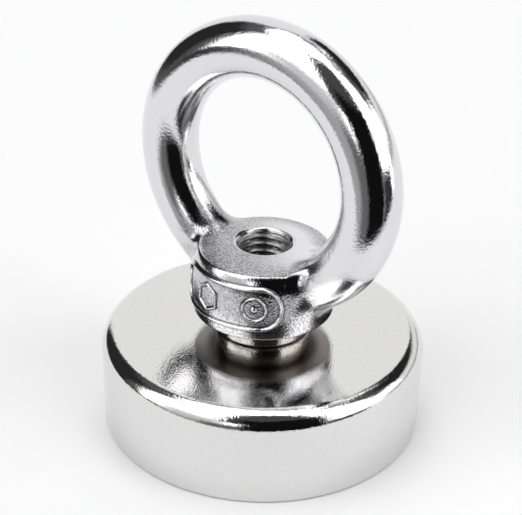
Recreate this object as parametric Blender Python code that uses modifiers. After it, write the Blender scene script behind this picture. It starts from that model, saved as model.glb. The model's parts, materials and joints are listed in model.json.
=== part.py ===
"""Magnet fishing magnet: a steel pot with a ring magnet in it, and a cast eye nut on its stud.

Metres, +Z up. The origin is the centre of the pot's lower rim. The magnet pulls along -Z, the
stud stands on the Z axis, and the eye lies in the XZ plane with the nut's plaque towards -Y.
"""

import math

import bmesh
import bpy

# Driving dimensions
POT_RADIUS = 0.016
POT_HEIGHT = 0.0096
POT_WALL = 0.0022
POT_CEILING = 0.0034
POT_EDGE = 0.0017
RIM_CHAMFER = 0.0003
FIT_GAP = 0.0003
SEAT_GAP = 0.0002
CLEARANCE = 0.00045

WELL_RADIUS = 0.0056
MAGNET_RECESS = 0.0004
MAGNET_EDGE = 0.0003
RESIN_RECESS = 0.0005
RESIN_WIDTH = 0.0008

STUD_RADIUS = 0.0022
STUD_TOP = 0.0166
STUD_CHAMFER = 0.0004
HEAD_RADIUS = 0.0046
HEAD_LAND = 0.0003
SOCKET_FLATS = 0.003
SOCKET_DEPTH = 0.0019

COLLAR_RADIUS = 0.00465
COLLAR_HEIGHT = 0.0019
COLLAR_EDGE = 0.00025

BOSS_RADIUS = 0.00705
BOSS_HEIGHT = 0.00705
SHOULDER_RADIUS = 0.00635
SHOULDER_HEIGHT = 0.00655
SHOULDER_EDGE = 0.0002
BELLY_TOP = 0.00555
BELLY_TOP_RADIUS = 0.00685
BELLY_EDGE = 0.0004
BELLY_BOTTOM = 0.0013
SEAT_RADIUS = 0.0069
SEAT_EDGE = 0.0003
PILOT_RADIUS = 0.001
BORE_RADIUS = 0.0025
BORE_RIM_RADIUS = 0.00285

EYE_RADIUS = 0.0117
EYE_TUBE = 0.0028
EYE_CENTRE = 0.01465

PLAQUE_HALF_ANGLE = math.radians(51)
PLAQUE_HALF_HEIGHT = 0.0021
PLAQUE_CENTRE = 0.0034
PLAQUE_BEAD = 0.00024

# Derived places on the axis
CEILING_UNDERSIDE = POT_HEIGHT - POT_CEILING
POT_INNER_RADIUS = POT_RADIUS - POT_WALL
CLEAR_RADIUS = STUD_RADIUS + CLEARANCE
COLLAR_SEAT = POT_HEIGHT + SEAT_GAP
NUT_SEAT = COLLAR_SEAT + COLLAR_HEIGHT + SEAT_GAP

NICKEL = (0.82, 0.82, 0.81)
MAGNET_NICKEL = (0.72, 0.71, 0.69)
RESIN_BLACK = (0.05, 0.05, 0.055)
ZINC = (0.7, 0.71, 0.72)
COLLAR_NICKEL = (0.8, 0.79, 0.77)

# Facets round a turned piece, along the eye and its bar, and on one rounded corner
POT_STEPS = 80
BOSS_STEPS = 64
SMALL_STEPS = 48
EYE_STEPS = 80
BAR_SIDES = 20
BEAD_SIDES = 8
POT_EDGE_STEPS = 8
MAGNET_EDGE_STEPS = 2
CORNER_STEPS = 3
CUT_MARGIN = 0.001
SHARP_ANGLE = math.radians(35)


def clear_scene():
    for thing in list(bpy.data.objects):
        bpy.data.objects.remove(thing, do_unlink=True)


def new_collection(name):
    collection = bpy.data.collections.new(name)
    bpy.context.scene.collection.children.link(collection)
    return collection


def metal(name, colour, roughness, metallic=1.0):
    material = bpy.data.materials.new(name)
    material.use_nodes = True
    shader = material.node_tree.nodes["Principled BSDF"]
    shader.inputs["Base Color"].default_value = (*colour, 1)
    shader.inputs["Roughness"].default_value = roughness
    shader.inputs["Metallic"].default_value = metallic
    return material


def rounded(corners, steps=CORNER_STEPS):
    """A closed outline through corners (x, z, radius), each corner with a radius made an arc."""
    outline = []
    for index, (x, z, radius) in enumerate(corners):
        if radius == 0:
            outline.append((x, z))
            continue
        before = corners[index - 1]
        after = corners[(index + 1) % len(corners)]
        outline += corner_arc((before[0], before[1]), (x, z), (after[0], after[1]), radius, steps)
    return outline


def corner_arc(before, corner, after, radius, steps):
    """Points of the arc that rounds one corner, from the side it comes in on to the next."""
    come = math.atan2(before[1] - corner[1], before[0] - corner[0])
    leave = math.atan2(after[1] - corner[1], after[0] - corner[0])
    turn = math.remainder(leave - come, 2 * math.pi)
    middle = come + turn / 2
    reach = radius / math.sin(abs(turn) / 2)
    centre = (corner[0] + reach * math.cos(middle), corner[1] + reach * math.sin(middle))
    first = come - math.copysign(math.pi / 2, turn)
    sweep = -math.copysign(math.pi - abs(turn), turn)
    angles = [first + sweep * step / steps for step in range(steps + 1)]
    return [(centre[0] + radius * math.cos(a), centre[1] + radius * math.sin(a)) for a in angles]


def turned(name, outline, steps, collection, height=0.0, closed=True):
    """A piece turned about the Z axis. The outline runs down its outer side."""
    mesh = bpy.data.meshes.new(name)
    count = len(outline)
    edges = [(i, (i + 1) % count) for i in range(count if closed else count - 1)]
    mesh.from_pydata([(x, 0, z) for x, z in outline], edges, [])
    piece = bpy.data.objects.new(name, mesh)
    piece.location = (0, 0, height)
    collection.objects.link(piece)
    screw = piece.modifiers.new("Turn", "SCREW")
    screw.steps = steps
    screw.render_steps = steps
    screw.use_merge_vertices = True
    screw.merge_threshold = 0.00001
    screw.use_smooth_shade = False
    return piece


def boolean(piece, other, operation):
    modifier = piece.modifiers.new(other.name, "BOOLEAN")
    modifier.operation = operation
    modifier.object = other
    modifier.solver = "EXACT"


def as_guide(thing):
    """Takes a cutter or a joined shape out of the model itself."""
    thing.hide_render = True
    thing.display_type = "WIRE"
    return thing


def tube(name, points, radius, sides, collection, height):
    """A closed loop of round bar through points, as a mesh."""
    curve = bpy.data.curves.new(name, "CURVE")
    curve.dimensions = "3D"
    curve.bevel_depth = radius
    curve.bevel_resolution = sides // 2 - 2
    curve.use_fill_caps = True
    spline = curve.splines.new("POLY")
    spline.points.add(len(points) - 1)
    spline.use_cyclic_u = True
    for point, place in zip(spline.points, points):
        point.co = (*place, 1)
    drawn = bpy.data.objects.new(name + "_path", curve)
    drawn.location = (0, 0, height)
    collection.objects.link(drawn)
    bpy.context.view_layer.update()
    evaluated = drawn.evaluated_get(bpy.context.evaluated_depsgraph_get())
    mesh = bpy.data.meshes.new_from_object(evaluated)
    weld(mesh)
    piece = bpy.data.objects.new(name, mesh)
    piece.matrix_world = drawn.matrix_world
    collection.objects.link(piece)
    bpy.data.objects.remove(drawn, do_unlink=True)
    return as_guide(piece)


def weld(mesh):
    shape = bmesh.new()
    shape.from_mesh(mesh)
    bmesh.ops.remove_doubles(shape, verts=shape.verts, dist=0.000001)
    bmesh.ops.recalc_face_normals(shape, faces=shape.faces)
    shape.to_mesh(mesh)
    shape.free()


def make_pot_shell(parts):
    """The steel cup: rounded top edge, open below, countersunk from inside for the screw."""
    sink = HEAD_RADIUS + FIT_GAP
    land = CEILING_UNDERSIDE + HEAD_LAND
    corners = [
        (CLEAR_RADIUS, POT_HEIGHT, 0),
        (POT_RADIUS, POT_HEIGHT, POT_EDGE),
        (POT_RADIUS, RIM_CHAMFER, 0),
        (POT_RADIUS - RIM_CHAMFER, 0, 0),
        (POT_INNER_RADIUS + RIM_CHAMFER, 0, 0),
        (POT_INNER_RADIUS, RIM_CHAMFER, 0),
        (POT_INNER_RADIUS, CEILING_UNDERSIDE, 0),
        (sink, CEILING_UNDERSIDE, 0),
        (sink, land, 0),
        (CLEAR_RADIUS, land + sink - CLEAR_RADIUS, 0),
    ]
    return turned("pot_shell", rounded(corners, POT_EDGE_STEPS), POT_STEPS, parts)


def make_ring_magnet(parts):
    """The neodymium ring, set back from the pot's rim."""
    outer = POT_INNER_RADIUS - FIT_GAP - RESIN_WIDTH - FIT_GAP
    top = CEILING_UNDERSIDE - FIT_GAP
    corners = [
        (WELL_RADIUS, top, MAGNET_EDGE),
        (outer, top, MAGNET_EDGE),
        (outer, MAGNET_RECESS, MAGNET_EDGE),
        (WELL_RADIUS, MAGNET_RECESS, MAGNET_EDGE),
    ]
    return turned("ring_magnet", rounded(corners, MAGNET_EDGE_STEPS), POT_STEPS, parts)


def make_resin_ring(parts):
    """The potting resin between the magnet and the pot's wall."""
    outer = POT_INNER_RADIUS - FIT_GAP
    inner = outer - RESIN_WIDTH
    top = CEILING_UNDERSIDE - FIT_GAP
    corners = [(inner, top, 0), (outer, top, 0), (outer, RESIN_RECESS, 0), (inner, RESIN_RECESS, 0)]
    return turned("resin_ring", rounded(corners), POT_STEPS, parts)


def make_countersunk_screw(parts, guides):
    """The screw held head down in the pot: its shank is the stud that the eye nut turns on."""
    land = CEILING_UNDERSIDE + HEAD_LAND
    outline = [
        (0, STUD_TOP),
        (STUD_RADIUS - STUD_CHAMFER, STUD_TOP),
        (STUD_RADIUS, STUD_TOP - STUD_CHAMFER),
        (STUD_RADIUS, land + HEAD_RADIUS - STUD_RADIUS),
        (HEAD_RADIUS, land),
        (HEAD_RADIUS, CEILING_UNDERSIDE),
        (0, CEILING_UNDERSIDE),
    ]
    screw = turned("countersunk_screw", outline, SMALL_STEPS, parts, closed=False)
    boolean(screw, make_socket_cutter(guides), "DIFFERENCE")
    return screw


def make_socket_cutter(guides):
    """The hexagonal prism that leaves the screw's key socket."""
    height = SOCKET_DEPTH + CUT_MARGIN
    middle = CEILING_UNDERSIDE - CUT_MARGIN + height / 2
    bpy.ops.mesh.primitive_cylinder_add(
        vertices=6,
        radius=SOCKET_FLATS / math.sqrt(3),
        depth=height,
        location=(0, 0, middle),
    )
    cutter = bpy.context.active_object
    cutter.name = "socket_cutter"
    move_to(cutter, guides)
    return as_guide(cutter)


def move_to(thing, collection):
    for holder in list(thing.users_collection):
        holder.objects.unlink(thing)
    collection.objects.link(thing)


def make_spacer_collar(parts):
    """The round spacer between the pot and the nut, bored clear of the stud."""
    corners = [
        (CLEAR_RADIUS, COLLAR_HEIGHT, 0),
        (COLLAR_RADIUS, COLLAR_HEIGHT, COLLAR_EDGE),
        (COLLAR_RADIUS, 0, COLLAR_EDGE),
        (CLEAR_RADIUS, 0, 0),
    ]
    return turned("spacer_collar", rounded(corners), BOSS_STEPS, parts, COLLAR_SEAT)


def make_boss(parts):
    """The nut's barrel with its pilot hole: flat seat, belly with some draft, sloped shoulder and
    domed top."""
    corners = [
        (PILOT_RADIUS, BOSS_HEIGHT, 0),
        (BORE_RIM_RADIUS, BOSS_HEIGHT, 0),
        (SHOULDER_RADIUS, SHOULDER_HEIGHT, SHOULDER_EDGE),
        (BELLY_TOP_RADIUS, BELLY_TOP, BELLY_EDGE),
        (BOSS_RADIUS, BELLY_BOTTOM, 0),
        (SEAT_RADIUS, 0, SEAT_EDGE),
        (PILOT_RADIUS, 0, 0),
    ]
    return turned("eye_nut", rounded(corners), BOSS_STEPS, parts, NUT_SEAT)


def make_eye(guides):
    """The eye: a ring of round bar in the XZ plane, which runs into the boss at its lowest point."""
    angles = [math.tau * step / EYE_STEPS for step in range(EYE_STEPS)]
    points = [
        (EYE_RADIUS * math.sin(a), 0, EYE_CENTRE - EYE_RADIUS * math.cos(a)) for a in angles
    ]
    return tube("eye", points, EYE_TUBE, BAR_SIDES, guides, NUT_SEAT)


def plaque_path(straight_steps=12, end_steps=10):
    """The plaque's outline laid round the boss: two level runs joined by half circles."""
    reach = BOSS_RADIUS * PLAQUE_HALF_ANGLE - PLAQUE_HALF_HEIGHT
    flat = []
    for side in (1, -1):
        for step in range(straight_steps):
            flat.append((side * reach * (2 * step / straight_steps - 1), -side * PLAQUE_HALF_HEIGHT))
        for step in range(end_steps):
            angle = side * (math.pi * step / end_steps - math.pi / 2)
            across = side * (reach + PLAQUE_HALF_HEIGHT * math.cos(angle))
            flat.append((across, PLAQUE_HALF_HEIGHT * math.sin(angle)))
    return [on_boss(across, up) for across, up in flat]


def on_boss(across, up):
    """A point on the boss's -Y side: across is the arc length from its middle."""
    angle = across / BOSS_RADIUS
    height = PLAQUE_CENTRE + up
    share = (height - BELLY_BOTTOM) / (BELLY_TOP - BELLY_BOTTOM)
    radius = BOSS_RADIUS + (BELLY_TOP_RADIUS - BOSS_RADIUS) * share
    return (radius * math.sin(angle), -radius * math.cos(angle), height)


def make_plaque_bead(guides):
    return tube("plaque_bead", plaque_path(), PLAQUE_BEAD, BEAD_SIDES, guides, NUT_SEAT)


def make_bore_cutter(guides):
    """The threaded bore at its plain radius, with a 45 degree countersink at each end."""
    lead = BORE_RIM_RADIUS - BORE_RADIUS
    mouth = BORE_RIM_RADIUS + CUT_MARGIN
    outline = [
        (0, BOSS_HEIGHT + CUT_MARGIN),
        (mouth, BOSS_HEIGHT + CUT_MARGIN),
        (BORE_RADIUS, BOSS_HEIGHT - lead),
        (BORE_RADIUS, lead),
        (mouth, -CUT_MARGIN),
        (0, -CUT_MARGIN),
    ]
    cutter = turned("bore_cutter", outline, BOSS_STEPS, guides, NUT_SEAT, closed=False)
    return as_guide(cutter)


def make_eye_nut(parts, guides):
    """The cast eye nut: boss, eye and plaque bead as one piece, bored through."""
    nut = make_boss(parts)
    boolean(nut, make_eye(guides), "UNION")
    boolean(nut, make_plaque_bead(guides), "UNION")
    boolean(nut, make_bore_cutter(guides), "DIFFERENCE")
    return nut


def finish(piece, material):
    """Fixes what the modifiers leave as the piece's own mesh, smooth but for its sharp edges."""
    bpy.context.view_layer.update()
    evaluated = piece.evaluated_get(bpy.context.evaluated_depsgraph_get())
    mesh = bpy.data.meshes.new_from_object(evaluated)
    mesh.name = piece.name
    mesh.shade_smooth()
    mesh.set_sharp_from_angle(angle=SHARP_ANGLE)
    mesh.materials.clear()
    mesh.materials.append(material)
    piece.modifiers.clear()
    piece.data = mesh


def build():
    clear_scene()
    parts = new_collection("magnet_fishing_magnet")
    guides = new_collection("cutters")
    finish(make_pot_shell(parts), metal("pot_nickel", NICKEL, 0.12))
    finish(make_ring_magnet(parts), metal("magnet_nickel", MAGNET_NICKEL, 0.22))
    finish(make_resin_ring(parts), metal("potting_resin", RESIN_BLACK, 0.45, metallic=0.0))
    finish(make_countersunk_screw(parts, guides), metal("stud_zinc", ZINC, 0.25))
    finish(make_spacer_collar(parts), metal("collar_nickel", COLLAR_NICKEL, 0.15))
    finish(make_eye_nut(parts, guides), metal("eye_nut_nickel", NICKEL, 0.15))


build()
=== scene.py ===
"""Looks of the magnet fishing magnet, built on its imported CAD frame. Metres, +Z up."""

import json
import math

import bmesh
import bpy
import numpy as np
from mathutils import Matrix, Vector

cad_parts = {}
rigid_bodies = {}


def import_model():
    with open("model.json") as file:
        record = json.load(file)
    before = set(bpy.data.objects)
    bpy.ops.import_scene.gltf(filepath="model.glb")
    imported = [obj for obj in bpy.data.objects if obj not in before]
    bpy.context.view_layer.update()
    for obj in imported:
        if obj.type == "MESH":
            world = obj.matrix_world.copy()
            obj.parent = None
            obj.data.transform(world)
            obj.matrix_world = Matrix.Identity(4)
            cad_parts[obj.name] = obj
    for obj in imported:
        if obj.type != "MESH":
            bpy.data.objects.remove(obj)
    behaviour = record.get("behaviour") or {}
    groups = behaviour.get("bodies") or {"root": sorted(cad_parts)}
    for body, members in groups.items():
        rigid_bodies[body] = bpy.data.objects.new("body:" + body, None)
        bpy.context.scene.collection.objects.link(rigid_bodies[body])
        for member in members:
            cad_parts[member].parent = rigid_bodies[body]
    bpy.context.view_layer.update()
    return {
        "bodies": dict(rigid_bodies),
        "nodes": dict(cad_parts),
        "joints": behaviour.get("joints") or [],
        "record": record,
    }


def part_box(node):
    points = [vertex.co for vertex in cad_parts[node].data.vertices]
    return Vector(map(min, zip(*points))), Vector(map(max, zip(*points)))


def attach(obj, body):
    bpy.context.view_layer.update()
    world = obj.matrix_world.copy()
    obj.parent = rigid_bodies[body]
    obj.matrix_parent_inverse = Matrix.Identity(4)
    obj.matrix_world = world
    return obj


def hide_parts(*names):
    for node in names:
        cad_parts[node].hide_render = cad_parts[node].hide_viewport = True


MM = 0.001

# The camera
CAMERA_AZIMUTH = math.radians(36.66)
CAMERA_ELEVATION = math.radians(28.56)
CAMERA_ROLL = 0.018
CAMERA_DISTANCE = 122.4 * MM
CAMERA_AIM_HEIGHT = 17.13 * MM
CAMERA_AIM_RIGHT = -0.31 * MM
CAMERA_LENS = 87.06
SENSOR_WIDTH = 36

# The floor, measured from the object's axis, and how far it lies below the pot's rim
TABLE_FRONT = 36 * MM
TABLE_LEFT = 160 * MM
FLOOR_REACH = 3.0
FLOOR_DROP = 0.01 * MM
FLOOR_HOLE = 15.2 * MM
FLOOR_HOLE_STEPS = 96
FLOOR_COLOUR = (0.93, 0.93, 0.935, 1)

# Panels of light and dark in the room, which the metal mirrors. Each has its bearing from the camera
# (0 behind it, positive to its right), half width, lowest and highest edge above the horizon, and
# softness, all in degrees. It leans by a share of the height above LEAN_PIVOT, and a later panel
# covers an earlier one.
BACKGROUND_LEVEL = 1.0
ROOM_LEVEL = 2.6
LEAN_PIVOT = math.radians(20)
PANELS = (
    # bearing, lean, half width, lowest, highest, softness, level
    (180, 0, 42, -90, 56, 2, 0.95),
    (180, 0, 40, 56, 61, 3, 0.06),
    (116, -0.35, 32, 8, 61, 5, 0.1),
    (100, 0, 13, 6, 33, 4, 1.5),
    (134, 0, 26, 8, 25, 4, 0.9),
    (134, 0, 26, 25, 50, 4, 0.02),
    (100, 0, 50, -1, 9, 5, 0.5),
    (128, 0, 46, 62, 69, 4, 0.04),
    (-58, -0.2, 32, 4, 75, 3, 2.0),
    (66, 0, 21.5, 2, 66, 3, 2.0),
    (-119, -0.25, 29, -90, 62, 4, 0.1),
    (-124, 0, 23, -3, 46, 5, 0.025),
    (-76, 0, 18, -90, 3, 4, 0.05),
    (60, 0, 16, -90, 1, 4, 0.04),
    (-45, 0, 23, -90, 26, 22, 0.7),
    (-45, 0, 25, -90, 0, 14, 0.42),
    (-25, 0, 15, -90, 4, 14, 0.15),
    (7, 0, 35, 20, 79, 4, 0.07),
    (15, 0, 30, -90, 42, 8, 0.006),
)

# Turned pieces
POT_EDGE = 1.7 * MM
POT_WALL = 2.2 * MM
POT_CEILING = 3.4 * MM
POT_RIM_EDGE = 0.3 * MM
POT_INNER_EDGE = 0.4 * MM
SHANK_HOLE = 2.65 * MM
HOLE_EDGE = 0.1 * MM
SINK_GAP = 0.3 * MM
SINK_LAND = 0.3 * MM
COLLAR_REACH = 0.15 * MM
COLLAR_EDGE = 0.3 * MM
COLLAR_HOLE_EDGE = 0.15 * MM
MAGNET_WELL = 5.6 * MM
MAGNET_FACE_EDGE = 0.35 * MM
MAGNET_BACK_EDGE = 0.3 * MM
RESIN_WIDTH = 0.8 * MM
RESIN_ON_MAGNET = 0.2 * MM
RESIN_ON_WALL = 0.25 * MM
RESIN_SAG = 0.18 * MM
RESIN_STEPS = 12
POT_STEPS = 256
SMALL_STEPS = 128
FINE_CORNER = 10
HEAD_CORNER = 4
SHARP_ANGLE = math.radians(35)

# The eye nut, from its seat up
EYE_TUBE = 2.8 * MM
ROOT_BLEND = 1.4 * MM
BOSS_RADIUS = 7.05 * MM
BOSS_HEIGHT = 7.05 * MM
SHOULDER_RADIUS = 6.35 * MM
SHOULDER_HEIGHT = 6.55 * MM
BELLY_TOP = 5.55 * MM
BELLY_TOP_RADIUS = 6.85 * MM
SEAT_RADIUS = 6.9 * MM
BELLY_BOTTOM = 1.3 * MM
BORE_RADIUS = 2.5 * MM
BORE_RIM_RADIUS = 2.85 * MM
NUT_VOXEL = 0.15 * MM
BELLY_SOFT = 0.2 * MM
SHOULDER_SOFT = 0.35 * MM
DOME_SOFT = 0.22 * MM
SEAT_SOFT = 0.3 * MM
BORE_SOFT = 0.12 * MM

# The raised frame and its pictograms, on the boss's -Y side
PLAQUE_INSIDE = BOSS_RADIUS - 0.5 * MM
PLAQUE_MARGIN = 0.5 * MM
PLAQUE_HALF_ANGLE = math.radians(51)
PLAQUE_HALF_HEIGHT = 2.1 * MM
PLAQUE_CENTRE = 3.4 * MM
BEAD_HEIGHT = 0.24 * MM
BEAD_HALF_WIDTH = 0.25 * MM
HEXAGON_PLACE = -1.6 * MM
DISC_PLACE = 3.6 * MM
MARK_SIZE = 1.15 * MM
MARK_LINE = 0.19 * MM
MARK_HEIGHT = 0.2 * MM
# How far the painted shade along the feet of the relief reaches.
FOOT_SHADE_REACH = 0.07 * MM

# The M5 thread on the stud and in the bore
PITCH = 0.8 * MM
CREST_SHARE = 0.12
STUD_CREST = 2.42 * MM
STUD_ROOT = 2.0 * MM
STUD_CHAMFER = 0.25 * MM
STUD_DISH = ((0, 0.12 * MM), (1.1 * MM, 0.1 * MM), (1.45 * MM, 0.02 * MM))
BORE_CREST = 2.13 * MM
SLEEVE_BACK = 0.1 * MM
ROWS_PER_TURN = 16

# The screw's head
NECK_RADIUS = 2.2 * MM
NECK_EDGE = 0.2 * MM
HEAD_LAND = 0.3 * MM
HEAD_EDGE = 0.1 * MM
HEAD_FACE_EDGE = 0.12 * MM
HEAD_STUB = 0.3 * MM
SOCKET_FLATS = 3.0 * MM
SOCKET_DEPTH = 1.9 * MM
SOCKET_CONE = 0.6 * MM
SOCKET_LEAD = 0.3 * MM
SOCKET_LEAD_DEPTH = 0.1 * MM

PLATES = {
    # material: bright and dull colour, roughness from and to, grains per metre, their depth
    "pot_nickel": ((0.77, 0.765, 0.76, 1), (0.74, 0.735, 0.73, 1), (0.05, 0.08), 4800, 0.014 * MM),
    # The collar's plate is darkened: painted shade for its place in the gap under the boss.
    "collar_nickel": ((0.54, 0.51, 0.48, 1), (0.4, 0.37, 0.34, 1), (0.1, 0.17), 4500, 0.014 * MM),
    "magnet_nickel": ((0.62, 0.61, 0.59, 1), (0.5, 0.49, 0.47, 1), (0.18, 0.3), 3800, 0.02 * MM),
    "screw_zinc": ((0.5, 0.5, 0.5, 1), (0.38, 0.38, 0.375, 1), (0.15, 0.3), 4200, 0.01 * MM),
    # The bore thread's plate is darkened: painted shade inside the hole.
    "bore_nickel_shaded": ((0.34, 0.335, 0.335, 1), (0.2, 0.195, 0.195, 1), (0.22, 0.36), 4200, 0.01 * MM),
}

# The casting's colours
CAST_BRIGHT = (0.76, 0.755, 0.77, 1)
CAST_PITTED = (0.4, 0.4, 0.41, 1)
# Painted shade that darkens the boss's flat top.
PAINTED_TOP_SHADE = (0.12, 0.12, 0.125, 1)
# Painted highlight that lightens the flat top towards its back right.
PAINTED_TOP_HIGHLIGHT = (0.8, 0.79, 0.82, 1)
# Painted shade inside the bore.
PAINTED_BORE_SHADE = (0.15, 0.15, 0.155, 1)
# Painted shade along the feet of the plaque's raised lines.
PAINTED_FOOT_SHADE = (0.04, 0.038, 0.036, 1)
# The seat's dull colour, partly darkened as painted shade under the boss.
SEAT_OUTSIDE = (0.42, 0.385, 0.36, 1)
# Painted shade round the collar and towards the front of the seat.
SEAT_PAINTED_SHADE = (0.07, 0.06, 0.056, 1)

RESIN_BLACK = (0.02, 0.02, 0.023, 1)
RESIN_DUSTY = (0.06, 0.058, 0.055, 1)


# ---------------------------------------------------------------- mesh helpers


def rounded(corners, steps=FINE_CORNER):
    """A closed outline through corners (x, z, radius), each corner with a radius made an arc."""
    outline = []
    for index, (x, z, radius) in enumerate(corners):
        if radius == 0:
            outline.append((x, z))
            continue
        before = corners[index - 1]
        after = corners[(index + 1) % len(corners)]
        outline += corner_arc(before, (x, z), after, radius, steps)
    return outline


def corner_arc(before, corner, after, radius, steps):
    """Points of the arc that rounds one corner, from the side it comes in on to the next."""
    come = math.atan2(before[1] - corner[1], before[0] - corner[0])
    leave = math.atan2(after[1] - corner[1], after[0] - corner[0])
    turn = math.remainder(leave - come, 2 * math.pi)
    middle = come + turn / 2
    reach = radius / math.sin(abs(turn) / 2)
    centre = (corner[0] + reach * math.cos(middle), corner[1] + reach * math.sin(middle))
    first = come - math.copysign(math.pi / 2, turn)
    sweep = -math.copysign(math.pi - abs(turn), turn)
    angles = [first + sweep * step / steps for step in range(steps + 1)]
    return [(centre[0] + radius * math.cos(a), centre[1] + radius * math.sin(a)) for a in angles]


def new_object(name, mesh):
    piece = bpy.data.objects.new(name, mesh)
    bpy.context.scene.collection.objects.link(piece)
    return piece


def ring_mesh(name, radii, heights, closed):
    """A mesh of rings about the Z axis: radii and heights are arrays of rows by steps."""
    rows, steps = radii.shape
    angles = np.arange(steps) * 2 * math.pi / steps
    points = np.stack([radii * np.cos(angles), radii * np.sin(angles), heights], axis=-1)
    last = rows if closed else rows - 1
    faces = []
    for row in range(last):
        above = row * steps
        below = (row + 1) % rows * steps
        for step in range(steps):
            after = (step + 1) % steps
            faces.append((above + step, below + step, below + after, above + after))
    mesh = bpy.data.meshes.new(name)
    mesh.from_pydata(points.reshape(-1, 3).tolist(), [], faces)
    tidy(mesh)
    return mesh


def tidy(mesh):
    """Welds the points that meet on the axis, faces everything outwards and shades it smooth."""
    shape = bmesh.new()
    shape.from_mesh(mesh)
    bmesh.ops.remove_doubles(shape, verts=shape.verts, dist=1e-7)
    bmesh.ops.recalc_face_normals(shape, faces=shape.faces)
    shape.to_mesh(mesh)
    shape.free()
    mesh.shade_smooth()
    mesh.set_sharp_from_angle(angle=SHARP_ANGLE)


def turned(name, outline, steps, closed=True):
    """A piece turned about the Z axis from an outline of (radius, height)."""
    shape = np.array(outline)
    radii = np.repeat(shape[:, :1], steps, axis=1)
    heights = np.repeat(shape[:, 1:], steps, axis=1)
    return new_object(name, ring_mesh(name, radii, heights, closed))


def joined(pieces, name):
    """Several meshes as one piece, which keeps each one's own surface."""
    with bpy.context.temp_override(
        active_object=pieces[0], selected_editable_objects=pieces, selected_objects=pieces
    ):
        bpy.ops.object.join()
    pieces[0].name = name
    return pieces[0]


def applied(piece):
    """Makes what the modifiers leave the piece's own mesh."""
    bpy.context.view_layer.update()
    evaluated = piece.evaluated_get(bpy.context.evaluated_depsgraph_get())
    mesh = bpy.data.meshes.new_from_object(evaluated)
    piece.modifiers.clear()
    piece.data = mesh
    return piece


# ---------------------------------------------------------------- the eye nut's surface


def smooth_min(first, second, reach):
    """The lesser of two distances, rounded off where they are within reach of each other."""
    share = np.clip(0.5 + 0.5 * (second - first) / reach, 0, 1)
    return second + (first - second) * share - reach * share * (1 - share)


def smooth_max(first, second, reach):
    return -smooth_min(-first, -second, reach)


def slope_distance(radius, height, start, end):
    """Distance outwards from the straight flank of a turned shape that runs from start to end."""
    along = (end[0] - start[0], end[1] - start[1])
    length = math.hypot(*along)
    return ((radius - start[0]) * -along[1] + (height - start[1]) * along[0]) / length


def boss_distance(radius, height):
    """The barrel boss: sloped top, steep shoulder, belly with some draft, slight taper to the seat."""
    profile = (
        (BORE_RIM_RADIUS, BOSS_HEIGHT),
        (SHOULDER_RADIUS, SHOULDER_HEIGHT),
        (BELLY_TOP_RADIUS, BELLY_TOP),
        (BOSS_RADIUS, BELLY_BOTTOM),
        (SEAT_RADIUS, 0),
    )
    dome, shoulder, belly, taper = (
        slope_distance(radius, height, start, end) for start, end in zip(profile, profile[1:])
    )
    side = smooth_max(belly, taper, BELLY_SOFT)
    side = smooth_max(side, shoulder, SHOULDER_SOFT)
    return smooth_max(side, dome, DOME_SOFT)


def eye_distance(x, y, z, eye_radius, eye_centre):
    """The eye's ring of round bar."""
    return np.hypot(np.hypot(x, z - eye_centre) - eye_radius, y) - EYE_TUBE


def ridge(distance, half_width):
    """A rounded ridge's share of its height, by distance from its middle line."""
    return np.clip(1 - (distance / half_width) ** 2, 0, 1) ** 1.5


def plaque_lines(x, y, z):
    """The raised lines: a frame round a hexagon and a ring with a dot. Each is the distance from
    the line's middle, its half width and its height."""
    across = np.arctan2(x, -y) * BOSS_RADIUS
    up = z - PLAQUE_CENTRE
    reach = BOSS_RADIUS * PLAQUE_HALF_ANGLE - PLAQUE_HALF_HEIGHT
    frame = np.hypot(np.maximum(np.abs(across) - reach, 0), up) - PLAQUE_HALF_HEIGHT
    disc = np.hypot(across - DISC_PLACE, up)
    return (
        (frame, BEAD_HALF_WIDTH, BEAD_HEIGHT),
        (hexagon(across - HEXAGON_PLACE, up), MARK_LINE, MARK_HEIGHT),
        (disc - MARK_SIZE, MARK_LINE, MARK_HEIGHT),
        (disc, 2 * MARK_LINE, MARK_HEIGHT),
    )


def plaque_relief(x, y, z):
    """How far the plaque's lines stand out of the boss."""
    return sum(height * ridge(away, half) for away, half, height in plaque_lines(x, y, z))


def mark_plaque(mesh):
    """Notes, for the material, the lines' worn crests and the painted shade along their feet."""
    points = np.empty(len(mesh.vertices) * 3)
    mesh.vertices.foreach_get("co", points)
    x, y, z = points.reshape(-1, 3).T
    outside = np.hypot(x, y) > PLAQUE_INSIDE
    lines = plaque_lines(x, y, z)
    crest = np.maximum.reduce([ridge(away, half) for away, half, _ in lines])
    # Bands along each line's feet, where the material paints shade.
    feet = [np.exp(-(((np.abs(away) - half) / FOOT_SHADE_REACH) ** 2)) for away, half, _ in lines]
    for name, share in (("crest", crest), ("foot_shade", np.maximum.reduce(feet))):
        made = mesh.attributes.new(name, "FLOAT", "POINT")
        made.data.foreach_set("value", share * outside)


def hexagon(across, up):
    """Distance from the outline of a hexagon that stands on a corner."""
    flats = [
        np.abs(across * math.cos(turn) + up * math.sin(turn))
        for turn in (0, math.pi / 3, -math.pi / 3)
    ]
    return np.maximum.reduce(flats) - MARK_SIZE


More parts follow.
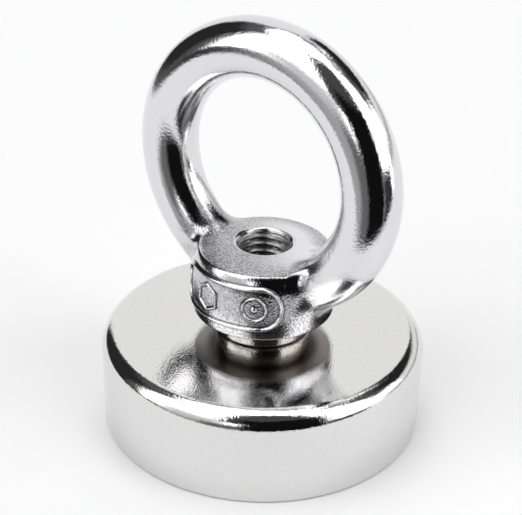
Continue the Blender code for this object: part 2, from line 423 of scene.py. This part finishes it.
def nut_field(points, eye_radius, eye_centre):
    """Below zero in the nut's metal. Points are measured from the middle of its seat."""
    x, y, z = points.T
    radius = np.hypot(x, y)
    boss = boss_distance(radius, z) - plaque_relief(x, y, z)
    eye = eye_distance(x, y, z, eye_radius, eye_centre)
    body = smooth_min(boss, eye, ROOT_BLEND)
    body = smooth_max(body, -z, SEAT_SOFT)
    lead = BORE_RIM_RADIUS - BORE_RADIUS
    upper_lead = np.maximum(z - BOSS_HEIGHT + lead, 0)
    lower_lead = np.maximum(lead - z, 0)
    well_above = BOSS_HEIGHT + 2 * MM - z
    hole = np.minimum(BORE_RADIUS + upper_lead + lower_lead - radius, well_above)
    return smooth_max(body, hole, BORE_SOFT)


def field_slope(field, points, step=2e-6):
    """The field's gradient, by central differences."""
    slopes = []
    for axis in range(3):
        shift = np.zeros(3)
        shift[axis] = step
        slopes.append((field(points + shift) - field(points - shift)) / (2 * step))
    return np.stack(slopes, axis=-1)


def fit_to_field(mesh, field, passes=8, longest=0.3 * MM, flattest=0.2):
    """Moves each point of the mesh straight onto the surface, and shades it by the surface itself."""
    points = np.empty(len(mesh.vertices) * 3)
    mesh.vertices.foreach_get("co", points)
    points = points.reshape(-1, 3)
    for _ in range(passes):
        slope = field_slope(field, points)
        size = np.maximum((slope**2).sum(axis=1), flattest)
        step = np.clip(field(points) / size, -longest, longest)
        points = points - slope * step[:, None]
    mesh.vertices.foreach_set("co", points.ravel())
    mesh.update()
    slope = field_slope(field, points)
    normals = slope / np.linalg.norm(slope, axis=1)[:, None]
    mesh.shade_smooth()
    mesh.normals_split_custom_set_from_vertices(normals.tolist())


def refine_plaque(mesh):
    """Halves the mesh's spacing twice over the plaque, for its narrow relief."""
    shape = bmesh.new()
    shape.from_mesh(mesh)
    for _ in range(2):
        fine = [edge for edge in shape.edges if all(on_plaque(point.co) for point in edge.verts)]
        bmesh.ops.subdivide_edges(shape, edges=fine, cuts=1, use_grid_fill=True)
    shape.to_mesh(mesh)
    shape.free()


def on_plaque(place):
    """Whether a place on the nut is on the plaque or within a margin of it."""
    across = math.atan2(place.x, -place.y)
    up = place.z - PLAQUE_CENTRE
    outside = math.hypot(place.x, place.y) > PLAQUE_INSIDE
    within = abs(across) < PLAQUE_HALF_ANGLE + PLAQUE_MARGIN / BOSS_RADIUS
    return outside and within and abs(up) < PLAQUE_HALF_HEIGHT + PLAQUE_MARGIN


def make_eye_nut(node, seat):
    """The cast nut: the CAD solid remeshed finely and fitted to the blended surface."""
    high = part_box("eye_nut")[1]
    eye_radius = high.x - EYE_TUBE
    eye_centre = high.z - seat - high.x
    body = new_object("eye_nut_fine", node.data.copy())
    body.data.transform(Matrix.Translation((0, 0, -seat)))
    remesh = body.modifiers.new("Fine", "REMESH")
    remesh.mode = "VOXEL"
    remesh.voxel_size = NUT_VOXEL
    applied(body)
    refine_plaque(body.data)
    fit_to_field(body.data, lambda points: nut_field(points, eye_radius, eye_centre))
    mark_plaque(body.data)
    body.data.transform(Matrix.Translation((0, 0, seat)))
    return body


# ---------------------------------------------------------------- threads


def thread_share(turns):
    """The thread's height at a share of a turn: straight flanks, a narrow crest and root."""
    phase = np.abs((turns % 1) * 2 - 1)
    return np.clip((phase - CREST_SHARE) / (1 - 2 * CREST_SHARE), 0, 1)


def thread_rows(low, high):
    """Heights down a thread, from high to low."""
    count = round((high - low) / PITCH * ROWS_PER_TURN)
    return np.linspace(high, low, count + 1)


def threaded(heights, steps):
    """The thread's share of its height at each of a helix's rows and steps. Right-handed."""
    angles = np.arange(steps) / steps
    return thread_share(heights[:, None] / PITCH - angles[None, :])


def make_bore_thread(seat):
    """The thread in the nut's bore: a sleeve let into the casting."""
    lead = BORE_RIM_RADIUS - BORE_RADIUS
    heights = thread_rows(seat + lead, seat + BOSS_HEIGHT - lead)
    share = threaded(heights, SMALL_STEPS)
    radii = BORE_RADIUS - (BORE_RADIUS - BORE_CREST) * (1 - share)
    fade = np.clip(np.minimum(heights[0] - heights, heights - heights[-1]) / (PITCH / 2), 0, 1)
    radii = BORE_RADIUS - (BORE_RADIUS - radii) * fade[:, None]
    back = np.full((2, SMALL_STEPS), BORE_RADIUS + SLEEVE_BACK)
    ends = np.repeat(np.array([[heights[-1]], [heights[0]]]), SMALL_STEPS, axis=1)
    rows = np.concatenate([radii, back])
    levels = np.concatenate([np.repeat(heights[:, None], SMALL_STEPS, axis=1), ends])
    return new_object("eye_nut_thread", ring_mesh("eye_nut_thread", rows, levels, closed=True))


def make_stud(low, high):
    """The screw's threaded shank, chamfered at its end, with a shallow dished face."""
    heights = thread_rows(low, high)
    share = threaded(heights, SMALL_STEPS)
    radii = STUD_ROOT + (STUD_CREST - STUD_ROOT) * share
    chamfer = STUD_ROOT - STUD_CHAMFER + (heights[0] - heights)[:, None]
    radii = np.minimum(radii, chamfer)
    levels = np.repeat(heights[:, None], SMALL_STEPS, axis=1)
    dish = np.array([(radius, high - depth) for radius, depth in STUD_DISH])
    middle = np.repeat(dish[:, :1], SMALL_STEPS, axis=1)
    middle_levels = np.repeat(dish[:, 1:], SMALL_STEPS, axis=1)
    radii = np.concatenate([middle, radii, np.zeros((1, SMALL_STEPS))])
    levels = np.concatenate([middle_levels, levels, np.full((1, SMALL_STEPS), low)])
    return new_object("stud_thread", ring_mesh("stud_thread", radii, levels, closed=False))


# ---------------------------------------------------------------- the other pieces


def make_pot_shell():
    """The steel cup with its rounded edge, chamfered rim and countersunk ceiling."""
    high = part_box("pot_shell")[1]
    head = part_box("countersunk_screw")[1].x
    inner = high.x - POT_WALL
    ceiling = high.z - POT_CEILING
    sink = head + SINK_GAP
    land = ceiling + SINK_LAND
    outline = [
        (SHANK_HOLE, high.z, HOLE_EDGE),
        (high.x, high.z, POT_EDGE),
        (high.x, 0, POT_RIM_EDGE),
        (inner, 0, POT_RIM_EDGE),
        (inner, ceiling, POT_INNER_EDGE),
        (sink, ceiling, HOLE_EDGE),
        (sink, land, 0),
        (SHANK_HOLE, land + sink - SHANK_HOLE, 0),
    ]
    return turned("pot_shell_fine", rounded(outline), POT_STEPS)


def make_spacer_collar():
    """The turned spacer. It is drawn out to almost touch the pot and the nut's seat."""
    low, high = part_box("spacer_collar")
    top = high.z + COLLAR_REACH
    foot = low.z - COLLAR_REACH
    outline = [
        (SHANK_HOLE, top, COLLAR_HOLE_EDGE),
        (high.x, top, COLLAR_EDGE),
        (high.x, foot, COLLAR_EDGE),
        (SHANK_HOLE, foot, COLLAR_HOLE_EDGE),
    ]
    return turned("spacer_collar_fine", rounded(outline), SMALL_STEPS)


def make_ring_magnet():
    """The plated ring magnet, with rounded edges."""
    low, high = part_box("ring_magnet")
    outline = [
        (MAGNET_WELL, high.z, MAGNET_BACK_EDGE),
        (high.x, high.z, MAGNET_BACK_EDGE),
        (high.x, low.z, MAGNET_FACE_EDGE),
        (MAGNET_WELL, low.z, MAGNET_FACE_EDGE),
    ]
    return turned("ring_magnet_fine", rounded(outline), POT_STEPS)


def make_resin_ring():
    """The potting resin, drawn up a little along both walls as it set."""
    low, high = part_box("resin_ring")
    inside = high.x - RESIN_WIDTH - RESIN_ON_MAGNET
    outside = high.x + RESIN_ON_WALL
    outline = [(inside, high.z), (outside, high.z)]
    for step in range(RESIN_STEPS + 1):
        share = step / RESIN_STEPS
        sag = RESIN_SAG * math.sin(math.pi * share)
        outline.append((outside - share * (outside - inside), low.z + sag))
    return turned("resin_ring_fine", outline, POT_STEPS)


def make_countersunk_screw():
    """The countersunk head with its key socket, and the threaded shank above it."""
    low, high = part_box("countersunk_screw")
    land = low.z + HEAD_LAND
    top = land + high.x - NECK_RADIUS
    outline = [
        (0, top + HEAD_STUB, 0),
        (NECK_RADIUS, top + HEAD_STUB, 0),
        (NECK_RADIUS, top, NECK_EDGE),
        (high.x, land, HEAD_EDGE),
        (high.x, low.z, HEAD_FACE_EDGE),
        (0, low.z, 0),
    ]
    head = turned("screw_head", rounded(outline, HEAD_CORNER), SMALL_STEPS, closed=False)
    cut_socket(head, low.z)
    stud = make_stud(top, high.z)
    return joined([head, stud], "countersunk_screw_fine")


def cut_socket(head, face):
    """Cuts the hexagonal key socket, with the drill's cone at its bottom."""
    corner = SOCKET_FLATS / math.sqrt(3)
    bottom = face + SOCKET_DEPTH
    outline = np.array([
        (0, face - MM),
        (corner + SOCKET_LEAD, face - MM),
        (corner, face + SOCKET_LEAD_DEPTH),
        (corner, bottom),
        (0, bottom + SOCKET_CONE),
    ])
    radii = np.repeat(outline[:, :1], 6, axis=1)
    heights = np.repeat(outline[:, 1:], 6, axis=1)
    cutter = new_object("socket_cutter", ring_mesh("socket_cutter", radii, heights, closed=False))
    cut = head.modifiers.new("Socket", "BOOLEAN")
    cut.operation = "DIFFERENCE"
    cut.object = cutter
    cut.solver = "EXACT"
    applied(head)
    tidy(head.data)
    bpy.data.objects.remove(cutter, do_unlink=True)


# ---------------------------------------------------------------- materials


def put(tree, kind, inputs=None, **settings):
    """Adds a node. Each input is a value, or another node's output to link."""
    made = tree.nodes.new(kind)
    for name, value in settings.items():
        setattr(made, name, value)
    for key, value in (inputs or {}).items():
        if isinstance(value, bpy.types.NodeSocket):
            tree.links.new(value, made.inputs[key])
        else:
            made.inputs[key].default_value = value
    return made


def noise(tree, where, scale, detail=3.0, roughness=0.55):
    made = put(
        tree,
        "ShaderNodeTexNoise",
        {"Vector": where, "Scale": scale, "Detail": detail, "Roughness": roughness},
    )
    return made.outputs["Fac"]


def remap(tree, value, low, high, to_low=0.0, to_high=1.0, kind="SMOOTHSTEP"):
    made = put(
        tree,
        "ShaderNodeMapRange",
        {0: value, 1: low, 2: high, 3: to_low, 4: to_high},
        interpolation_type=kind,
    )
    return made.outputs[0]


def calculate(tree, operation, first, second=0.0, third=0.0):
    inputs = {0: first, 1: second, 2: third}
    return put(tree, "ShaderNodeMath", inputs, operation=operation).outputs[0]


def mix(tree, share, first, second):
    """Two colours mixed."""
    made = put(tree, "ShaderNodeMix", {"Factor": share}, data_type="RGBA")
    for socket, value in ((made.inputs[6], first), (made.inputs[7], second)):
        if isinstance(value, bpy.types.NodeSocket):
            tree.links.new(value, socket)
        else:
            socket.default_value = value
    return made.outputs[2]


def bump(tree, height, distance, strength=1.0, normal=None):
    inputs = {"Height": height, "Distance": distance, "Strength": strength}
    if normal is not None:
        inputs["Normal"] = normal
    return put(tree, "ShaderNodeBump", inputs).outputs["Normal"]


def new_material(name):
    material = bpy.data.materials.new(name)
    material.use_nodes = True
    tree = material.node_tree
    return material, tree, tree.nodes["Principled BSDF"]


def where_on(tree, stretch=(1, 1, 1)):
    """Places on the piece, in metres, stretched by axis."""
    place = put(tree, "ShaderNodeTexCoord").outputs["Object"]
    return put(tree, "ShaderNodeMapping", {"Vector": place, "Scale": stretch}).outputs[0]


def product(tree, *shares):
    """Several shares multiplied together."""
    made = shares[0]
    for share in shares[1:]:
        made = calculate(tree, "MULTIPLY", made, share)
    return made


def plated(name):
    """Bright plate: a fine grain, a wandering haze and a few hairline scratches."""
    bright, dull, roughness, grain, grain_depth = PLATES[name]
    material, tree, shader = new_material(name)
    place = where_on(tree)
    tone = remap(tree, noise(tree, place, 2600, 3), 0.35, 0.75)
    tree.links.new(mix(tree, tone, bright, dull), shader.inputs["Base Color"])
    shader.inputs["Metallic"].default_value = 1
    haze = remap(tree, noise(tree, place, 260, 4), 0.2, 0.8, *roughness)
    scratches = remap(tree, noise(tree, where_on(tree, (1, 14, 6)), 900, 2), 0.7, 0.76, 0, 0.06)
    tree.links.new(calculate(tree, "ADD", haze, scratches), shader.inputs["Roughness"])
    fine = noise(tree, place, grain, 1.5)
    wavy = bump(tree, noise(tree, place, 500, 1), 0.003 * MM)
    tree.links.new(bump(tree, fine, grain_depth, 1.0, wavy), shader.inputs["Normal"])
    return material


def cast_share(tree, level, radius):
    """How far the nut's surface is as cast: most on the boss, less on the worn crests of its relief
    and on the handled shoulder, and not at all on the eye or inside the bore's rim."""
    boss = remap(tree, level, 7 * MM, 10.5 * MM, 1.0, 0.0)
    near = remap(tree, radius, 7.2 * MM, 9.5 * MM, 1.0, 0.0)
    rim = remap(tree, radius, BORE_RIM_RADIUS, BORE_RIM_RADIUS + 0.25 * MM)
    crest = put(tree, "ShaderNodeAttribute", attribute_name="crest").outputs["Fac"]
    unworn = remap(tree, crest, 0.3, 0.8, 1.0, 0.35)
    above = remap(tree, level, 5.4 * MM, 5.8 * MM, 0.0, 0.6)
    past = remap(tree, level, 6.4 * MM, 6.6 * MM, 0.0, 0.6)
    handled = calculate(tree, "SUBTRACT", above, past)
    return product(tree, boss, near, rim, unworn, calculate(tree, "SUBTRACT", 1.0, handled))


def cast_colour(tree, place, level, radius, cast, pits):
    """The casting's colour above its seat: pitted, with painted shade across its flat top and a
    painted highlight towards its back right, painted shade in the bore, and painted shade along the
    feet of the relief."""
    dark_pits = remap(tree, pits, 0.62, 0.38, 0.15, 1.0)
    worn = remap(tree, noise(tree, place, 1500, 4), 0.4, 0.75, 0, 0.3)
    pitted = product(tree, calculate(tree, "MAXIMUM", worn, dark_pits), cast)
    # Painted shade: this mask darkens the boss's flat top.
    top = remap(tree, level, 6.2 * MM, 6.7 * MM, 0.0, 0.28)
    # Painted highlight: the flat top grows lighter towards its back right.
    across = put(
        tree, "ShaderNodeVectorMath", {0: place, 1: (0.75, 0.66, 0)}, operation="DOT_PRODUCT"
    )
    top_highlight = remap(tree, across.outputs["Value"], -2.5 * MM, 3.5 * MM)
    flat = remap(tree, level, 6.6 * MM, 6.9 * MM)
    # Painted shade: the bore's inside is darkened below the eye.
    bore = remap(tree, radius, BORE_RIM_RADIUS - 0.25 * MM, BORE_RIM_RADIUS, 0.7, 0.0)
    under_eye = remap(tree, level, 7 * MM, 10.5 * MM, 1.0, 0.0)
    # Painted shade in the creases along the feet of the relief.
    foot_shade = put(tree, "ShaderNodeAttribute", attribute_name="foot_shade").outputs["Fac"]
    colour = mix(tree, pitted, CAST_BRIGHT, CAST_PITTED)
    colour = mix(tree, product(tree, top, cast), colour, PAINTED_TOP_SHADE)
    colour = mix(tree, product(tree, top_highlight, flat, cast), colour, PAINTED_TOP_HIGHLIGHT)
    colour = mix(tree, product(tree, bore, under_eye), colour, PAINTED_BORE_SHADE)
    return mix(tree, product(tree, foot_shade, 0.85), colour, PAINTED_FOOT_SHADE)


def seat_colour_and_shade(tree, depth, radius):
    """The faced seat under the boss: dull and darkened, partly painted shade under the boss, with more
    painted shade round the collar and towards the front.
    """
    # Painted shade: darker towards the front and round the collar.
    front = remap(tree, depth, -5.5 * MM, -2.5 * MM, 0.35, 1.0)
    outside = remap(tree, radius, 4.9 * MM, 6.1 * MM)
    return mix(tree, product(tree, front, outside), SEAT_PAINTED_SHADE, SEAT_OUTSIDE)


def cast_nickel(name):
    """Plated casting: grainy as cast on the boss, polished on the eye, dull on the faced seat; its
    colour carries painted shade and a painted highlight.
    """
    material, tree, shader = new_material(name)
    place = where_on(tree)
    split = put(tree, "ShaderNodeSeparateXYZ", {0: place}).outputs
    level = calculate(tree, "SUBTRACT", split["Z"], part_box("eye_nut")[0].z)
    flat = put(tree, "ShaderNodeVectorMath", {0: place, 1: (1, 1, 0)}, operation="MULTIPLY")
    length = put(tree, "ShaderNodeVectorMath", {0: flat.outputs[0]}, operation="LENGTH")
    radius = length.outputs["Value"]
    cast = cast_share(tree, level, radius)
    pits = noise(tree, place, 4900, 2)
    seat = remap(tree, level, 0.03 * MM, 0.25 * MM, 1.0, 0.0)
    above = cast_colour(tree, place, level, radius, cast, pits)
    colour = mix(tree, seat, above, seat_colour_and_shade(tree, split["Y"], radius))
    tree.links.new(colour, shader.inputs["Base Color"])
    shader.inputs["Metallic"].default_value = 1
    rough = remap(tree, noise(tree, place, 400, 4), 0.35, 0.7, 0.05, 0.09)
    rough = calculate(tree, "MULTIPLY_ADD", cast, 0.04, rough)
    rough = calculate(tree, "MULTIPLY_ADD", seat, 0.25, rough)
    tree.links.new(rough, shader.inputs["Roughness"])
    strength = remap(tree, cast, 0, 1, 0.5, 1.0, "LINEAR")
    grained = bump(tree, pits, 0.028 * MM, strength)
    peel = noise(tree, place, 900, 2)
    tree.links.new(bump(tree, peel, 0.01 * MM, 1.0, grained), shader.inputs["Normal"])
    return material


def resin(name):
    """Dark potting resin with fine bubbles and dust."""
    material, tree, shader = new_material(name)
    place = where_on(tree)
    dust = remap(tree, noise(tree, place, 1200, 5), 0.3, 0.75)
    tree.links.new(mix(tree, dust, RESIN_BLACK, RESIN_DUSTY), shader.inputs["Base Color"])
    rough = remap(tree, noise(tree, place, 3000, 3), 0.3, 0.7, 0.35, 0.6)
    tree.links.new(rough, shader.inputs["Roughness"])
    cells = put(tree, "ShaderNodeTexVoronoi", {"Vector": place, "Scale": 1600}).outputs["Distance"]
    bubbles = remap(tree, cells, 0.0, 0.22)
    tree.links.new(bump(tree, bubbles, 0.03 * MM, 0.7), shader.inputs["Normal"])
    return material


# ---------------------------------------------------------------- the studio


def bearing_turn(bearing):
    """The angle about Z, from +X, of a direction given by its bearing in degrees."""
    return CAMERA_AZIMUTH - math.pi / 2 + math.radians(bearing)


def panel_mask(tree, direction, height, bearing, lean, half_width, lowest, highest, softness):
    """One inside a panel and nought outside it, with soft edges."""
    turned_back = put(
        tree,
        "ShaderNodeVectorRotate",
        {"Vector": direction, "Angle": -bearing_turn(bearing)},
        rotation_type="Z_AXIS",
    )
    split = put(tree, "ShaderNodeSeparateXYZ", {0: turned_back.outputs[0]})
    off = calculate(tree, "ARCTAN2", split.outputs["Y"], split.outputs["X"])
    leaning = calculate(tree, "MULTIPLY", calculate(tree, "SUBTRACT", height, LEAN_PIVOT), lean)
    off = calculate(tree, "ABSOLUTE", calculate(tree, "SUBTRACT", off, leaning))
    soft = math.radians(softness) / 2
    half = math.radians(half_width)
    high = math.radians(highest)
    sides = remap(tree, off, half - soft, half + soft, 1.0, 0.0)
    top = remap(tree, height, high - soft, high + soft, 1.0, 0.0)
    if lowest <= -90:
        return product(tree, sides, top)
    low = math.radians(lowest)
    return product(tree, sides, remap(tree, height, low - soft, low + soft), top)


def light_room():
    """Soft studio light from all round: white panels with darker gaps between them."""
    world = bpy.data.worlds.new("studio")
    bpy.context.scene.world = world
    world.use_nodes = True
    tree = world.node_tree
    tree.nodes.clear()
    direction = put(tree, "ShaderNodeTexCoord").outputs["Generated"]
    level = put(tree, "ShaderNodeSeparateXYZ", {0: direction}).outputs["Z"]
    height = calculate(tree, "ARCSINE", level)
    colour = (ROOM_LEVEL, ROOM_LEVEL, ROOM_LEVEL, 1)
    for *panel, brightness in PANELS:
        mask = panel_mask(tree, direction, height, *panel)
        colour = mix(tree, mask, colour, (brightness, brightness, brightness, 1))
    seen = put(tree, "ShaderNodeLightPath").outputs["Is Camera Ray"]
    pale = (BACKGROUND_LEVEL, BACKGROUND_LEVEL, BACKGROUND_LEVEL, 1)
    light = put(tree, "ShaderNodeBackground", {"Color": mix(tree, seen, colour, pale)})
    out = put(tree, "ShaderNodeOutputWorld")
    tree.links.new(light.outputs[0], out.inputs["Surface"])


def floor_piece(name, outlines, material):
    """A flat piece of floor inside the first outline and outside the others, if there are any.
    Outlines are places to the camera's right and towards it, from the object's axis."""
    right = Vector((math.cos(CAMERA_AZIMUTH), math.sin(CAMERA_AZIMUTH), 0))
    near = Vector((math.sin(CAMERA_AZIMUTH), -math.cos(CAMERA_AZIMUTH), 0))
    shape = bmesh.new()
    for outline in outlines:
        places = [right * across + near * along for across, along in outline]
        rim = [shape.verts.new((place.x, place.y, -FLOOR_DROP)) for place in places]
        for first, second in zip(rim, rim[1:] + rim[:1]):
            shape.edges.new((first, second))
    bmesh.ops.triangle_fill(shape, use_beauty=True, edges=shape.edges[:], normal=(0, 0, 1))
    for face in shape.faces:
        if face.normal.z < 0:
            face.normal_flip()
    mesh = bpy.data.meshes.new(name)
    shape.to_mesh(mesh)
    shape.free()
    floor = new_object(name, mesh)
    mesh.materials.append(material)
    return floor


def rectangle(left, right, far, near):
    return [(left, near), (right, near), (right, far), (left, far)]


def circle(radius):
    angles = [2 * math.pi * step / FLOOR_HOLE_STEPS for step in range(FLOOR_HOLE_STEPS)]
    return [(radius * math.cos(angle), radius * math.sin(angle)) for angle in angles]


def floor_material():
    """Matt white from above and clear from below, so that the object's underside can be seen."""
    material, tree, shader = new_material("pale_floor")
    shader.inputs["Base Color"].default_value = FLOOR_COLOUR
    shader.inputs["Roughness"].default_value = 0.9
    shader.inputs["Specular IOR Level"].default_value = 0.0
    clear = put(tree, "ShaderNodeBsdfTransparent").outputs[0]
    below = put(tree, "ShaderNodeNewGeometry").outputs["Backfacing"]
    sides = put(tree, "ShaderNodeMixShader", {0: below, 1: shader.outputs[0], 2: clear})
    tree.links.new(sides.outputs[0], tree.nodes["Material Output"].inputs["Surface"])
    return material


def lay_floor():
    """A white table, open under the pot, that ends a little in front of the object, and the floor
    beyond it, which the camera sees but the metal doesn't mirror."""
    material = floor_material()
    reach = FLOOR_REACH
    table = [rectangle(-TABLE_LEFT, reach, -reach, TABLE_FRONT), circle(FLOOR_HOLE)]
    floor_piece("studio_table", table, material)
    beyond = [
        (-reach, reach),
        (-reach, -reach),
        (-TABLE_LEFT, -reach),
        (-TABLE_LEFT, TABLE_FRONT),
        (reach, TABLE_FRONT),
        (reach, reach),
    ]
    floor_piece("studio_floor", [beyond], material).visible_glossy = False


def set_camera():
    sin_a, cos_a = math.sin(CAMERA_AZIMUTH), math.cos(CAMERA_AZIMUTH)
    sin_e, cos_e = math.sin(CAMERA_ELEVATION), math.cos(CAMERA_ELEVATION)
    back = Vector((sin_a * cos_e, -cos_a * cos_e, sin_e))
    right = Vector((cos_a, sin_a, 0))
    aim = Vector((0, 0, CAMERA_AIM_HEIGHT)) + right * CAMERA_AIM_RIGHT
    up = back.cross(right)
    tilted_right = right * math.cos(CAMERA_ROLL) + up * math.sin(CAMERA_ROLL)
    tilted_up = up * math.cos(CAMERA_ROLL) - right * math.sin(CAMERA_ROLL)
    camera = bpy.data.objects.new("camera", bpy.data.cameras.new("camera"))
    bpy.context.scene.collection.objects.link(camera)
    camera.data.sensor_fit = "HORIZONTAL"
    camera.data.sensor_width = SENSOR_WIDTH
    camera.data.lens = CAMERA_LENS
    camera.data.clip_start = 0.005
    camera.data.clip_end = 20
    turn = Matrix((tilted_right, tilted_up, back)).transposed().to_4x4()
    camera.matrix_world = Matrix.Translation(aim + back * CAMERA_DISTANCE) @ turn
    bpy.context.scene.camera = camera


# ---------------------------------------------------------------- the object


def dress(piece, material, body, node):
    """Gives a piece its material and its body, and hides the CAD node that it stands for."""
    piece.data.materials.clear()
    piece.data.materials.append(material)
    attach(piece, body)
    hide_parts(node)


def make_object(frame):
    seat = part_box("eye_nut")[0].z
    nut = make_eye_nut(frame["nodes"]["eye_nut"], seat)
    thread = make_bore_thread(seat)
    thread.data.materials.append(plated("bore_nickel_shaded"))
    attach(thread, "eye_nut")
    dress(nut, cast_nickel("eye_nut_nickel"), "eye_nut", "eye_nut")
    dress(make_pot_shell(), plated("pot_nickel"), "pot", "pot_shell")
    dress(make_ring_magnet(), plated("magnet_nickel"), "pot", "ring_magnet")
    dress(make_resin_ring(), resin("potting_resin"), "pot", "resin_ring")
    dress(make_countersunk_screw(), plated("screw_zinc"), "pot", "countersunk_screw")
    dress(make_spacer_collar(), plated("collar_nickel"), "collar", "spacer_collar")


def corners(box):
    return [list(corner) for corner in box]


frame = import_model()
set_camera()
lay_floor()
light_room()
make_object(frame)
bpy.context.scene.view_settings.view_transform = "Standard"
